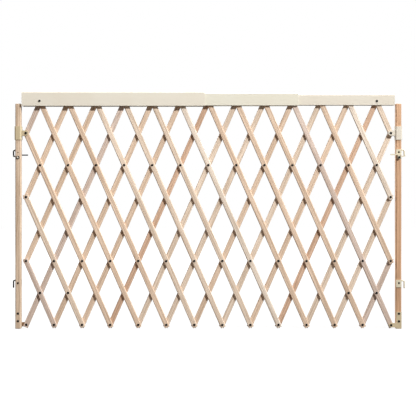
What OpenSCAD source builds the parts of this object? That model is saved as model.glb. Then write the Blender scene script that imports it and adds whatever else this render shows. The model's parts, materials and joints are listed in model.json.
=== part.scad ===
// Expanding safety gate: a riveted lattice of wooden slats between two wooden
// posts, with a telescoping top rail. The width runs along X, the depth along Y
// with the front at -Y, and the height along Z. The origin is on the ground, in
// the middle of the gate. The gate looks the same after half a turn about Z, so
// every piece of the left end is a piece of the right end, turned round.

/* [Lattice] */
// Distance between neighbouring crossings, along a slat
link = 119.5; // [114:0.5:122]
// Lean of the slats from upright, in degrees, at the width the gate is drawn at
lean = 23.7; // [22:0.1:25]
// Width of a slat
slat_w = 18; // [14:0.5:20]
// Thickness of a slat
slat_t = 6; // [5:0.5:7]
// How far a slat runs past the rivet at its end
slat_end = 9; // [7:0.5:10]
// Gap between the front and the back layer of slats
layer_gap = 0.4; // [0.3:0.1:0.8]

/* [Rivets] */
// Diameter of a rivet's shank
rivet_d = 5; // [4:0.5:6]
// Diameter of a rivet's head
rivet_head_d = 8.4; // [7.5:0.1:10]
// Diameter of the flat on top of a rivet's head
rivet_crown_d = 5.4; // [4:0.2:6.4]
// Height of a rivet's head
rivet_head_h = 1.4; // [1:0.1:1.8]
// Radial clearance of every pin and rivet in its hole
pin_clear = 0.05; // [0.03:0.01:0.08]
// Gap under a rivet's head
head_gap = 0.1; // [0.05:0.05:0.2]

/* [Posts] */
// Width of a post
post_w = 19; // [18:0.5:26]
// Depth of a post
post_d = 22; // [22:0.5:26]
// Radius of a post's long edges
post_round = 3; // [1:0.5:4]
// Gap between a slat's corner and the slider, at the closest
corner_gap = 2; // [0.3:0.1:3]
// How far a post stands up past the bottom edge of the top rail
post_overlap = 8; // [4:0.5:9]

/* [Top rail] */
// Distance from the gate's middle to the inner end of an end section
rail_meet = 11; // [8:0.5:21]
// How far the middle section reaches into the outer section
outer_overlap = 231; // [205:1:235]
// How far the middle section reaches over the inner section
inner_overlap = 297; // [270:1:300]
// How far the outer section hangs below its rivet
rail_skirt = 16.7; // [15:0.1:20]
// How far the outer section stands above its rivet
rail_crown = 34.1; // [32:0.1:40]
// Wall of a section
rail_wall = 2.2; // [1.6:0.1:2.4]
// Radius of a section's top edges
rail_round = 4; // [3:0.5:6]
// Side gap between a section and the one inside it
rail_gap = 0.8; // [0.5:0.1:1.2]
// Headroom between a section's top and the one inside it
rail_headroom = 1.8; // [1:0.1:2.5]
// Height of the lip that turns in under the section inside
lip_h = 1.2; // [1:0.1:1.5]
// Gap between a lip and the section it carries
lip_gap = 0.3; // [0.3:0.1:0.5]
// Side gap between the rivets' heads and the inner section
rail_clear = 0.6; // [0.4:0.1:1]
// Gap between a rail's end and the post's inner face
rail_end_gap = 3.7; // [3:0.1:6]
// Diameter of the spacers beside the slats in the rail
spacer_d = 9; // [8:0.5:11]

/* [Sliders] */
// Height of a slider's sleeve
slider_h = 46; // [36:1:48]
// Wall of a slider's sleeve
slider_wall = 2; // [1.5:0.1:3]
// Gap between a sleeve and its post
slider_gap = 0.3; // [0.3:0.1:0.6]
// Radius of a slider's eye
eye_r = 9; // [7:0.5:11]
// Thickness of each of a slider's two cheeks
cheek_t = 3; // [2:0.2:3.6]
// Gap between a cheek and the slat beside it
cheek_gap = 0.3; // [0.3:0.1:0.6]

/* [Foot brackets] */
// Thickness of a foot bracket
foot_t = 3; // [2:0.2:3.4]
// Height of a foot bracket's top edge
foot_top = 58; // [54:1:70]
// Height of a foot bracket's bottom edge
foot_bottom = 1; // [0.5:0.5:3]
// Radius of the round end of a foot bracket's arm
foot_eye_r = 7.5; // [6:0.5:9]
// Height of the lower rivet of a foot bracket
foot_rivet_z = 26; // [24:0.5:30]
// Distance between the two rivets of a foot bracket
foot_rivet_pitch = 26; // [15:0.5:27]
// How far a plate on a post stays inside the post's edges
plate_inset = 0.5; // [0.5:0.1:2]

/* [Hooks] */
// Diameter of the hooks' wire
wire_d = 5; // [4:0.5:5.5]
// Distance from a post's outer face to a hook's pin
hook_reach = 9.5; // [7:0.5:11]
// Radius of a hook's bend
hook_bend = 5; // [4:0.5:6]
// Length of the tail that holds a hook in its post
hook_tail = 7; // [5:0.5:10]
// Radial clearance of a hook's tail in its hole
tail_clear = 0.3; // [0.2:0.05:0.5]
// Length of the chamfer at a hook's tip
hook_tip = 1; // [0.5:0.1:1.5]
// Distance from a slider's bottom edge down to the upper hook's shank
below_slider = 35; // [28:0.5:45]
// Drop of an upper hook, from its shank to its tip
upper_hook_drop = 17.5; // [14:0.5:20]
// Distance from a foot bracket's top edge up to the lower hook's shank
above_foot = 106.5; // [82:0.5:142]
// Drop of a lower hook, from its shank to its tip
lower_hook_drop = 26; // [18:0.5:30]
// Thickness of the clamp plates over the hooks
clamp_t = 2.5; // [2:0.1:2.8]
// Height of an upper clamp plate
upper_clamp_h = 21; // [17:0.5:22]
// Height of a lower clamp plate
lower_clamp_h = 25; // [18:0.5:28]
// How far a clamp plate stands above its hook's shank
clamp_above = 2.5; // [2.5:0.5:6]
// Distance from a hook's shank down to the clamp's screw
screw_below = 8; // [7.5:0.1:8.5]

/* [Keepers] */
// Thickness of a keeper
keeper_t = 3; // [2:0.2:4]
// Gap between a keeper and the clamp plate behind it
keeper_gap = 0.5; // [0.3:0.1:1]
// How far outward of the post's middle a keeper's pivot is
keeper_offset = 0.5; // [0:0.5:4]
// Distance from an upper hook's tip down to the keeper's pivot
keeper_below = 8; // [7:0.5:9]
// Height of a keeper's thumb bar above its pivot
thumb_rise = 9.5; // [8:0.5:11]
// How far a keeper's thumb bar reaches past the post's inner face
thumb_reach = 20; // [12:1:25]
// Width of a keeper's arms
arm_w = 4; // [3:0.5:6]
// Radius of a keeper's hub
hub_r = 6; // [5:0.5:7]
// Diameter of the peg that closes the hook's mouth
peg_d = 4; // [3:0.2:5]
// How far a keeper's knuckle reaches past its peg all round
knuckle_rim = 0.8; // [0.5:0.1:1.5]
// Gap between the peg and the hook's tip
peg_gap = 0.3; // [0.3:0.1:1]

/* [Fasteners] */
// Diameter of the clamps' screws
screw_d = 3.5; // [3:0.1:4]
// Diameter of a clamp screw's head
screw_head_d = 7; // [6:0.1:8]
// Length of an upper clamp's wood screw
wood_screw_len = 16; // [12:1:20]
// Diameter of the keepers' bolts
bolt_d = 5; // [4:0.5:6]
// Diameter of a keeper bolt's head
bolt_head_d = 9; // [8:0.5:11]
// Height of a keeper bolt's head
bolt_head_h = 2.4; // [2:0.1:3]
// Diameter of the washer under a keeper bolt's nut
washer_d = 12; // [10:0.5:14]
// Thickness of a washer and of a clamp screw's nut
washer_t = 1.5; // [1:0.1:2]
// Diameter of a keeper bolt's cap nut
nut_d = 8; // [7:0.5:9]
// Height of a keeper bolt's cap nut
nut_h = 3; // [2.5:0.1:4]
// Width of the slots in the screws' heads
slot_w = 1.1; // [0.8:0.1:1.4]
// Depth of the slots in the screws' heads
slot_depth = 0.8; // [0.5:0.1:1.2]

/* [Hidden] */
$fn = 48;
cut = 1; // how far a cutting tool runs past what it cuts
columns = 26; // half pitches between the two end rivets of a row
rows = 7; // steps between the bottom and the top row of rivets
slats = 16; // slats in each layer
half_pitch = link * sin(lean);
row_rise = link * cos(lean);
tip_reach = norm([slat_w / 2, slat_end]); // from an end rivet to a slat's corner
foot_lift = tip_reach; // so that no slat's corner ever goes below the posts
hole_r = rivet_d / 2 + pin_clear;

// Planes across the depth, as distances from the middle plane
slat_in = layer_gap / 2;
slat_out = slat_in + slat_t;
head_out = slat_out + head_gap + rivet_head_h;
cheek_in = slat_out + cheek_gap;
cheek_out = cheek_in + cheek_t;
post_face = post_d / 2;
clamp_face = post_face + clamp_t;
keeper_back = clamp_face + keeper_gap;
keeper_face = keeper_back + keeper_t;
wire_r = wire_d / 2;
wire_y = post_face - wire_r; // the wire lies flush in the post's face

// Places along the width, for the right end
pin_x = columns / 2 * half_pitch;
post_in = pin_x + tip_reach + corner_gap + slider_wall + slider_gap;
post_mid = post_in + post_w / 2;
post_out = post_in + post_w;
sleeve_in = post_in - slider_gap - slider_wall;
hook_x = post_out + hook_reach;
tail_x = post_in + plate_inset + wire_d;
pivot_x = post_mid + keeper_offset;
rail_end = post_in - rail_end_gap;
middle_left = -rail_meet - outer_overlap;
middle_right = rail_meet + inner_overlap;

// Heights
top_row_z = foot_lift + rows * row_rise;
slider_z = foot_lift + (rows - 1) * row_rise;
rail_bottom = top_row_z - rail_skirt;
rail_top = top_row_z + rail_crown;
post_h = rail_bottom + post_overlap;
upper_hook_z = slider_z - slider_h / 2 - below_slider;
lower_hook_z = foot_top + above_foot;
pivot_z = upper_hook_z - upper_hook_drop - keeper_below;
thumb_z = pivot_z + thumb_rise;
peg_z = upper_hook_z - upper_hook_drop - peg_gap - peg_d / 2;

// Half depths of the three rail sections, from the inner one outwards
nest_side = rail_wall + rail_gap;
nest_top = rail_wall + rail_headroom;
nest_bottom = lip_h + lip_gap;
inner_half = head_out + rail_clear + rail_wall;
middle_half = inner_half + nest_side;
outer_half = middle_half + nest_side;

pad = function (n) n < 10 ? str("0", n) : str(n);
front_name = function (n) str("front_slat_", pad(n));
back_name = function (n) str("back_slat_", pad(n));

// A crossing is named by its column, 0 to 26 from the left, and its row, 0 to 7
// from the ground. Slats cross where column and row are both even or both odd.
function crossing(column, row) =
    [(column - columns / 2) * half_pitch, 0, foot_lift + row * row_rise];

// The end columns are riveted at every crossing, the others in some rows only.
function in_end_column(column) = column == 0 || column == columns;
function near_end(column) = column <= 3 || column >= columns - 3;
function is_riveted(column, row) =
    row == 0 || row == 2 || row == 5 || row == 7
    || in_end_column(column)
    || (row == 1 && near_end(column));

// The crossings that something other than a plain lattice rivet goes through
function is_foot_pin(column, row) = row == 0 && in_end_column(column);
function is_rail_pin(column, row) = row == rows && (column == 1 || column == columns - 1);
function is_slider_pin(column, row) = row == rows - 1 && in_end_column(column);

// Front slat n leans to the left as it rises, and starts from column 2 n in row
// 0 where the lattice is wide enough for that.
function first_row(n) = max(0, 2 * n - columns);
function last_row(n) = min(rows, 2 * n);
function slat_column(n, row) = 2 * n - row;

module half_turn() {
    rotate([0, 0, 180])
        children();
}

// A flat outline in X and Z becomes a plate from depth y towards the front.
module front_plate(y, thickness) {
    translate([0, -y, 0])
        rotate([90, 0, 0])
            linear_extrude(thickness)
                children();
}

// A round bar along Y between two depths; the front is at -Y.
module cross_rod(radius, from_y, to_y) {
    translate([0, from_y, 0])
        rotate([-90, 0, 0])
            cylinder(h = to_y - from_y, r = radius);
}

module rounded_outline(width, depth, radius) {
    square([width - 2 * radius, depth], center = true);
    square([width, depth - 2 * radius], center = true);
    for (x = [-1, 1], y = [-1, 1])
        translate([x * (width / 2 - radius), y * (depth / 2 - radius)])
            circle(radius);
}

// A flat bar with square ends between two points of an outline.
module bar_outline(from, to, width) {
    run = to - from;
    translate(from)
        rotate(atan2(run.y, run.x))
            translate([0, -width / 2])
                square([norm(run), width]);
}

// A rivet along Y whose heads lie against depths front_y and back_y.
module rivet(front_y, back_y) {
    grip = back_y - front_y;
    translate([0, back_y, 0])
        rotate([90, 0, 0])
            rotate_extrude()
                polygon([
                    [0, -rivet_head_h],
                    [rivet_crown_d / 2, -rivet_head_h],
                    [rivet_head_d / 2, 0],
                    [rivet_d / 2, 0],
                    [rivet_d / 2, grip],
                    [rivet_head_d / 2, grip],
                    [rivet_crown_d / 2, grip + rivet_head_h],
                    [0, grip + rivet_head_h]
                ]);
}

module through_rivet(half_grip) {
    rivet(-half_grip - head_gap, half_grip + head_gap);
}

module slat_wood(n) {
    length = (last_row(n) - first_row(n)) * link;
    translate(crossing(slat_column(n, first_row(n)), first_row(n)))
        rotate([0, -lean, 0])
            difference() {
                translate([-slat_w / 2, -slat_out, -slat_end])
                    cube([slat_w, slat_t, length + 2 * slat_end]);
                for (row = [first_row(n) : last_row(n)])
                    if (is_riveted(slat_column(n, row), row))
                        translate([0, 0, (row - first_row(n)) * link])
                            cross_rod(hole_r, -slat_out - cut, 0);
            }
}

// The lattice rivets that a front slat carries. They hold the back slats too.
module slat_rivets(n) {
    for (row = [first_row(n) : last_row(n)]) {
        column = slat_column(n, row);
        if (is_riveted(column, row) && !is_foot_pin(column, row) && !is_rail_pin(column, row))
            translate(crossing(column, row))
                through_rivet(is_slider_pin(column, row) ? cheek_out : slat_out);
    }
}

module front_slat(n) {
    color("burlywood")
        slat_wood(n);
    color("silver")
        slat_rivets(n);
}

// Back slats are front slats turned round, so they lean to the right.
module back_slat(n) {
    color("tan")
        half_turn()
            slat_wood(slats + 1 - n);
}

// The slot that a hook's shank lies in, and the hole for the hook's tail.
module hook_seat(z) {
    seat_r = wire_r + pin_clear;
    translate([tail_x, -post_face - cut, z - seat_r])
        cube([post_w, cut + wire_d + pin_clear, 2 * seat_r]);
    translate([tail_x, 0, z])
        cross_rod(wire_r + tail_clear, -post_face - cut, hook_tail - wire_y + pin_clear);
}

module post() {
    color("burlywood")
        difference() {
            translate([post_mid, 0, 0])
                linear_extrude(post_h)
                    rounded_outline(post_w, post_d, post_round);
            for (z = [foot_rivet_z, foot_rivet_z + foot_rivet_pitch])
                translate([post_mid, 0, z])
                    cross_rod(hole_r, -post_face - cut, post_face + cut);
            hook_seat(upper_hook_z);
            hook_seat(lower_hook_z);
            translate([post_mid, 0, upper_hook_z - screw_below])
                cross_rod(screw_d / 2 + pin_clear, -post_face - cut, wood_screw_len - clamp_face + pin_clear);
            translate([post_mid, 0, lower_hook_z - screw_below])
                cross_rod(screw_d / 2 + pin_clear, -post_face - cut, post_face + cut);
            translate([pivot_x, 0, pivot_z])
                cross_rod(bolt_d / 2 + pin_clear, -post_face - cut, post_face + cut);
        }
}

module slider() {
    bore_w = post_w + 2 * slider_gap;
    bore_d = post_d + 2 * slider_gap;
    bore_round = post_round + slider_gap;
    color("cornsilk") {
        translate([post_mid, 0, slider_z - slider_h / 2])
            linear_extrude(slider_h)
                difference() {
                    rounded_outline(bore_w + 2 * slider_wall, bore_d + 2 * slider_wall, bore_round + slider_wall);
                    rounded_outline(bore_w, bore_d, bore_round);
                }
        for (y = [cheek_in, -cheek_out])
            front_plate(y, cheek_t)
                difference() {
                    union() {
                        translate([pin_x, slider_z])
                            circle(eye_r);
                        translate([pin_x, slider_z - eye_r])
                            square([sleeve_in + slider_wall / 2 - pin_x, 2 * eye_r]);
                    }
                    translate([pin_x, slider_z])
                        circle(hole_r);
                }
    }
}

module foot_bracket() {
    color("tan")
        difference() {
            union() {
                front_plate(post_face, foot_t) {
                    translate([post_in + plate_inset, foot_bottom])
                        square([post_w - 2 * plate_inset, foot_top - foot_bottom]);
                    translate([pin_x, foot_lift - foot_eye_r])
                        square([post_mid - pin_x, 2 * foot_eye_r]);
                    translate([pin_x, foot_lift])
                        circle(foot_eye_r);
                }
                translate([pin_x, 0, foot_lift])
                    cross_rod(rivet_head_d / 2 + cut, -post_face - foot_t / 2, -cheek_in);
            }
            translate([pin_x, 0, foot_lift])
                cross_rod(hole_r, -post_face - foot_t - cut, 0);
            for (z = [foot_rivet_z, foot_rivet_z + foot_rivet_pitch])
                translate([post_mid, 0, z])
                    cross_rod(hole_r, -post_face - foot_t - cut, 0);
        }
}

// Two rivets through the post and one that the lowest slat turns on.
module foot_rivets() {
    front_y = -post_face - foot_t - head_gap;
    color("gray") {
        for (z = [foot_rivet_z, foot_rivet_z + foot_rivet_pitch])
            translate([post_mid, 0, z])
                rivet(front_y, post_face + head_gap);
        translate([pin_x, 0, foot_lift])
            rivet(front_y, head_gap - slat_in);
    }
}

// Outline of a rail section in Y and Z, as a solid bar.
module rail_outline(half, bottom, top, radius) {
    translate([-half, bottom])
        square([2 * half, top - radius - bottom]);
    translate([radius - half, bottom])
        square([2 * (half - radius), top - bottom]);
    for (side = [-1, 1])
        translate([side * (half - radius), top - radius])
            circle(radius);
}

// A channel that is open below, from x = 0 towards +X. A section that holds
// another one has a lip along each bottom edge, which turns in under that one.
module rail_channel(length, half, bottom, top, lipped) {
    rotate([90, 0, 90])
        linear_extrude(length) {
            difference() {
                rail_outline(half, bottom, top, rail_round);
                rail_outline(half - rail_wall, bottom - cut, top - rail_wall, rail_round - rail_wall);
            }
            if (lipped)
                for (y = [-half, half - nest_side])
                    translate([y, bottom])
                        square([nest_side, lip_h]);
        }
}

// A rail section that is closed at its post end, drawn for the right end.
module end_section(half, bottom, top, lipped) {
    difference() {
        union() {
            translate([rail_meet, 0, 0])
                rail_channel(rail_end - rail_meet, half, bottom, top, lipped);
            translate([rail_end - rail_wall, 0, 0])
                rotate([90, 0, 90])
                    linear_extrude(rail_wall)
                        rail_outline(half, bottom, top, rail_round);
        }
        translate(crossing(columns - 1, rows))
            cross_rod(hole_r, -half - cut, half + cut);
    }
}

module rail_outer() {
    color("linen")
        half_turn()
            end_section(outer_half, rail_bottom, rail_top, true);
}

module rail_middle() {
    color("linen")
        translate([middle_left, 0, 0])
            rail_channel(
                middle_right - middle_left, middle_half,
                rail_bottom + nest_bottom, rail_top - nest_top, true
            );
}

module rail_inner() {
    color("linen")
        end_section(inner_half, rail_bottom + 2 * nest_bottom, rail_top - 2 * nest_top, false);
}

// The rivet through a rail section of the given half depth, and the two spacers
// that keep the slats in the middle of it.
module rail_fixing(half) {
    spacer_from = slat_out + head_gap;
    spacer_to = half - rail_wall - head_gap;
    color("silver")
        translate(crossing(columns - 1, rows)) {
            through_rivet(half);
            for (y = [-spacer_to, spacer_from])
                difference() {
                    cross_rod(spacer_d / 2, y, y + spacer_to - spacer_from);
                    cross_rod(hole_r, y - cut, y + spacer_to - spacer_from + cut);
                }
        }
}

// A hook bent from wire: a tail in the post, a shank along the groove, and a pin
// that points down.
module hook(z, drop) {
    translate([0, -wire_y, z]) {
        translate([tail_x, 0, 0]) {
            sphere(wire_r);
            cross_rod(wire_r, 0, hook_tail);
            rotate([0, 90, 0])
                cylinder(h = hook_x - hook_bend - tail_x, r = wire_r);
        }
        translate([hook_x - hook_bend, 0, -hook_bend])
            rotate([90, 0, 0])
                rotate_extrude(angle = 90)
                    translate([hook_bend, 0])
                        circle(wire_r);
        translate([hook_x, 0, hook_tip - drop])
            cylinder(h = drop - hook_tip - hook_bend, r = wire_r);
        translate([hook_x, 0, -drop])
            cylinder(h = hook_tip, r1 = wire_r - hook_tip, r2 = wire_r);
    }
}

module upper_hook() {
    color("dimgray")
        hook(upper_hook_z, upper_hook_drop);
}

module lower_hook() {
    color("dimgray")
        hook(lower_hook_z, lower_hook_drop);
}

// A screw's shank with its countersunk head, from the head's face towards +Y.
module countersunk(length, extra) {
    sink = (screw_head_d - screw_d) / 2;
    rotate([-90, 0, 0]) {
        cylinder(h = sink, r1 = screw_head_d / 2 + extra, r2 = screw_d / 2 + extra);
        cylinder(h = length, r = screw_d / 2 + extra);
    }
}

module clamp(hook_z, height) {
    color("wheat")
        difference() {
            front_plate(post_face, clamp_t)
                translate([post_in + plate_inset, hook_z + clamp_above - height])
                    square([post_w - 2 * plate_inset, height]);
            translate([post_mid, -clamp_face, hook_z - screw_below])
                countersunk(clamp_t + cut, pin_clear);
        }
}

module upper_clamp() {
    clamp(upper_hook_z, upper_clamp_h);
}

module lower_clamp() {
    clamp(lower_hook_z, lower_clamp_h);
}

// A slotted screw whose head is flush with the clamp plate.
module clamp_screw(length) {
    translate([0, -clamp_face, 0])
        difference() {
            countersunk(length, 0);
            translate([-screw_head_d, -cut, -slot_w / 2])
                cube([2 * screw_head_d, cut + slot_depth, slot_w]);
        }
}

// The upper screw ends in the wood, and the lower one goes through to a nut.
module post_screws() {
    color("gray") {
        translate([post_mid, 0, upper_hook_z - screw_below])
            clamp_screw(wood_screw_len);
        translate([post_mid, 0, lower_hook_z - screw_below]) {
            clamp_screw(clamp_face + post_face + washer_t);
            difference() {
                cross_rod(screw_head_d / 2, post_face, post_face + washer_t);
                cross_rod(screw_d / 2 + pin_clear, post_face - cut, post_face + washer_t + cut);
            }
        }
    }
}

// A lever that turns on its bolt. Its peg closes the mouth of the upper hook from
// below, and its thumb bar is the heavier side, so it stays closed.
module keeper() {
    pivot = [pivot_x, pivot_z];
    color("dimgray") {
        difference() {
            front_plate(keeper_back, keeper_t) {
                translate(pivot)
                    circle(hub_r);
                bar_outline(pivot, [hook_x, peg_z], arm_w);
                translate([hook_x, peg_z])
                    circle(peg_d / 2 + knuckle_rim);
                bar_outline([post_in - thumb_reach, thumb_z], [pivot_x, thumb_z], arm_w);
                bar_outline(pivot, [pivot_x, thumb_z + arm_w / 2], 2 * arm_w);
            }
            translate([pivot_x, 0, pivot_z])
                cross_rod(bolt_d / 2 + pin_clear, -keeper_face - cut, 0);
        }
        translate([hook_x, 0, peg_z])
            cross_rod(peg_d / 2, -keeper_back - keeper_t / 2, wire_r - wire_y);
    }
}

// The bolt that a keeper turns on: bolt, spacer, washer and cap nut.
module keeper_bolt() {
    bore_r = bolt_d / 2 + pin_clear;
    bolt_end = post_face + washer_t + nut_h / 2;
    color("darkgray")
        translate([pivot_x, 0, pivot_z]) {
            difference() {
                union() {
                    cross_rod(bolt_head_d / 2, -keeper_face - head_gap - bolt_head_h, -keeper_face - head_gap);
                    cross_rod(bolt_d / 2, -keeper_face - head_gap - bolt_head_h, bolt_end);
                }
                translate([-bolt_head_d, -keeper_face - head_gap - bolt_head_h - cut, -slot_w / 2])
                    cube([2 * bolt_head_d, cut + slot_depth, slot_w]);
            }
            difference() {
                cross_rod(bolt_head_d / 2, head_gap - keeper_back, -post_face);
                cross_rod(bore_r, -keeper_back - cut, 0);
            }
            difference() {
                union() {
                    cross_rod(washer_d / 2, post_face, post_face + washer_t);
                    cross_rod(nut_d / 2, post_face, post_face + washer_t + nut_h);
                }
                cross_rod(bore_r, 0, bolt_end + pin_clear);
            }
        }
}

for (n = [1 : slats])
    front_slat(n);
for (n = [1 : slats])
    back_slat(n);
rail_outer();
rail_middle();
rail_inner();
post();  // right_post
half_turn() post();  // left_post
slider();  // right_slider
half_turn() slider();  // left_slider
foot_bracket();  // right_foot_bracket
half_turn() foot_bracket();  // left_foot_bracket
foot_rivets();  // right_foot_rivets
half_turn() foot_rivets();  // left_foot_rivets
rail_fixing(inner_half);  // right_rail_fixing
half_turn() rail_fixing(outer_half);  // left_rail_fixing
upper_hook();  // right_upper_hook
half_turn() upper_hook();  // left_upper_hook
lower_hook();  // right_lower_hook
half_turn() lower_hook();  // left_lower_hook
upper_clamp();  // right_upper_clamp
half_turn() upper_clamp();  // left_upper_clamp
lower_clamp();  // right_lower_clamp
half_turn() lower_clamp();  // left_lower_clamp
post_screws();  // right_post_screws
half_turn() post_screws();  // left_post_screws
keeper();  // right_keeper
half_turn() keeper();  // left_keeper
keeper_bolt();  // right_keeper_bolt
half_turn() keeper_bolt();  // left_keeper_bolt
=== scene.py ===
"""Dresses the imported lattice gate: drilled wooden slats, tubular rivets, wooden posts,
moulded rail sections and collars, brackets, hooks and keepers, and the stage."""

import json
import math

import bpy
from mathutils import Matrix, Vector


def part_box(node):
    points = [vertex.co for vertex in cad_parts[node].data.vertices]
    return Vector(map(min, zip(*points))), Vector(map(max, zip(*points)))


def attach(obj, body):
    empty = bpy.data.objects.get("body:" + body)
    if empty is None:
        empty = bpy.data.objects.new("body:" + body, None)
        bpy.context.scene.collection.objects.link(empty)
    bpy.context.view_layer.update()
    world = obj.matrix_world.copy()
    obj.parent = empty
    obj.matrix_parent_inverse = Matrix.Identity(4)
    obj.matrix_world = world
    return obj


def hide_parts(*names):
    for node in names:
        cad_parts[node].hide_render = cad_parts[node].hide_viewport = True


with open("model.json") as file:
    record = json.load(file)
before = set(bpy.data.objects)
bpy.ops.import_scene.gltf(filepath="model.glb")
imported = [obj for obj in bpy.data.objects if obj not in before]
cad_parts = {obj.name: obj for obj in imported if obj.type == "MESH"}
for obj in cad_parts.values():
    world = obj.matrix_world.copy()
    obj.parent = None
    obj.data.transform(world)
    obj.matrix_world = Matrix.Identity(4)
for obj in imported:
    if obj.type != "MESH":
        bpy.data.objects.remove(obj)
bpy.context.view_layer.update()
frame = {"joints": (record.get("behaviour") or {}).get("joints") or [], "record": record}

bl_info = {
    "name": "Lattice Gate",
    "version": (1, 0, 0),
    "blender": (4, 5, 0),
    "location": "View3D > Sidebar > Gate",
    "description": "Models the pieces of an expanding lattice gate on its packed frame",
    "category": "Object",
}

MM = 0.001
JOINT_AT = {joint["name"]: Vector(joint["pos_m"]) for joint in frame["joints"] if "pos_m" in joint}
BODY_OF = {
    node: body
    for body, nodes in frame["record"]["behaviour"]["bodies"].items()
    for node in nodes
}

# The lattice: crossings have a column, 0 to 26 from the left, and a row, 0 to 7 up.
COLUMNS = 26
ROWS = 7
SLATS = 16
# These rows are riveted right across, and row 1 near the two ends only.
RIVETED_ROWS = (0, 2, 5, 7)
END_COLUMNS = 3
FIRST_CROSSING = JOINT_AT["lattice_fold"]
HALF_PITCH = (JOINT_AT["right_foot_turn"].x - FIRST_CROSSING.x) / COLUMNS
ROW_RISE = (JOINT_AT["left_slider_turn"].z - FIRST_CROSSING.z) / (ROWS - 1)
LEAN = math.atan2(HALF_PITCH, ROW_RISE)
LINK = math.hypot(HALF_PITCH, ROW_RISE)
# Each plank takes its grain this much further along, so that no two look alike.
PLANK_STEP = LINK * COLUMNS

# Depths from the middle plane, and the right post, which most pieces hang on
SLAT_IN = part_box("back_slat_04")[0].y
SLAT_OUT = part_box("back_slat_04")[1].y
POST_LOW, POST_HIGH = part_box("right_post")
POST_FACE = POST_HIGH.y
POST_MID = (POST_LOW.x + POST_HIGH.x) / 2
POST_HALF = (POST_HIGH.x - POST_LOW.x) / 2
KEEPER_PIVOT = JOINT_AT["right_keeper_turn"]
HALF_TURN = Matrix.Rotation(math.pi, 4, "Z")

# Play of a screw in its hole and of a hook in its slot, on each side
PLAY = 0.05 * MM
# Edges longer than this run the length of a slat, post or rail, and aren't at its ends.
LONG_EDGE = 10 * MM
# Edges that turn by more than the first angle are softened. What then turns by less than
# the second looks smooth.
SOFTENED_ANGLE = math.radians(50)
SMOOTH_ANGLE = math.radians(32)

# The wood of each slat from left to right
FRONT_WOOD = (
    "ash pale honey honey honey pale pale pale "
    "cream honey honey honey ash honey cream pale"
).split()
BACK_WOOD = (
    "ash honey honey ash honey honey russet pale "
    "pale honey pale honey russet pale pale ash"
).split()


def display(red, green, blue):
    """A colour as it shows on a screen, 0 to 255, as the linear colour that shaders take."""
    shares = [value / 255 for value in (red, green, blue)]
    return tuple(s / 12.92 if s < 0.04045 else ((s + 0.055) / 1.055) ** 2.4 for s in shares)


def length(name, description, millimetres):
    """A size that a user may change, in metres."""
    return bpy.props.FloatProperty(
        name=name, description=description, default=millimetres * MM,
        min=0, unit="LENGTH", precision=5,
    )


def colour(name, description, red, green, blue):
    """A colour that a user may change."""
    return bpy.props.FloatVectorProperty(
        name=name, description=description, default=display(red, green, blue),
        min=0, max=1, subtype="COLOR", size=3,
    )


class GateSizes(bpy.types.PropertyGroup):
    """Sizes of the gate's pieces that the frame doesn't give"""

    slat_width: length("Slat width", "Width of a slat", 18)
    slat_end: length("Slat end", "How far a slat runs past its last rivet", 9)
    slat_round: length("Slat rounding", "Radius of a slat's long edges", 2.6)
    hole_radius: length("Hole radius", "Radius of the holes for rivets and bolts", 2.55)
    shank_radius: length("Shank radius", "Radius of a rivet's shank", 2.5)
    rivet_radius: length("Rivet radius", "Radius of a rivet's head", 4.2)
    rivet_bore: length("Rivet bore", "Radius of the dished bore in a rivet's rolled end", 2.9)
    rivet_height: length("Rivet height", "Height of a rivet's head", 1.4)
    head_gap: length("Head gap", "Gap under a rivet's head", 0.1)
    post_round: length("Post rounding", "Radius of a post's long edges", 3)
    post_end: length("Post end rounding", "Radius of the edges at a post's ends", 2)
    collar_height: length("Collar height", "Height of a sliding collar", 46)
    collar_wall: length("Collar wall", "Wall of a sliding collar", 2)
    collar_gap: length("Collar gap", "Gap between a collar and its post", 0.3)
    cheek_gap: length("Cheek gap", "Gap between a collar's cheek and the slat", 0.3)
    cheek_thickness: length("Cheek thickness", "Thickness of a collar's cheek", 3)
    eye_radius: length("Eye radius", "Radius of the round end of a cheek", 9)
    rail_wall: length("Rail wall", "Wall of a rail section", 2.2)
    rail_round: length("Rail rounding", "Radius of a rail section's top edges", 7)
    lip_height: length("Lip height", "Height of the lip that carries the next section", 1.2)
    lip_reach: length("Lip reach", "How far a rail section's lip turns in", 3)
    spacer_radius: length("Spacer radius", "Radius of the spacers inside the rail", 4.5)
    foot_eye: length("Foot eye", "Radius of the round end of a foot bracket", 7.5)
    foot_rivet: length("Foot rivet height", "Height of a foot bracket's lower rivet", 26)
    foot_pitch: length("Foot rivet pitch", "Distance between a foot bracket's rivets", 26)
    wire_radius: length("Wire radius", "Radius of the hooks' wire", 2.5)
    hook_bend: length("Hook bend", "Radius of a hook's bend", 5)
    screw_below: length("Screw below hook", "From a hook's shank down to the clamp's screw", 8)
    screw_radius: length("Screw radius", "Radius of a clamp screw's shank", 1.75)
    screw_head: length("Screw head", "Radius of a clamp screw's head", 3.5)
    keeper_thickness: length("Keeper thickness", "Thickness of a keeper", 3)
    keeper_arm: length("Keeper arm", "Width of a keeper's arms", 4)
    keeper_hub: length("Keeper hub", "Radius of a keeper's hub", 6)
    thumb_rise: length("Thumb bar rise", "Height of a keeper's thumb bar above its pivot", 9.5)
    peg_gap: length("Peg gap", "Gap between the peg and the hook's tip", 0.3)
    peg_radius: length("Peg radius", "Radius of the peg that closes a hook's mouth", 2)
    bolt_head: length("Bolt head", "Radius of a keeper bolt's head", 4.5)
    nut_radius: length("Nut radius", "Radius of a keeper bolt's cap nut", 4)


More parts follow.
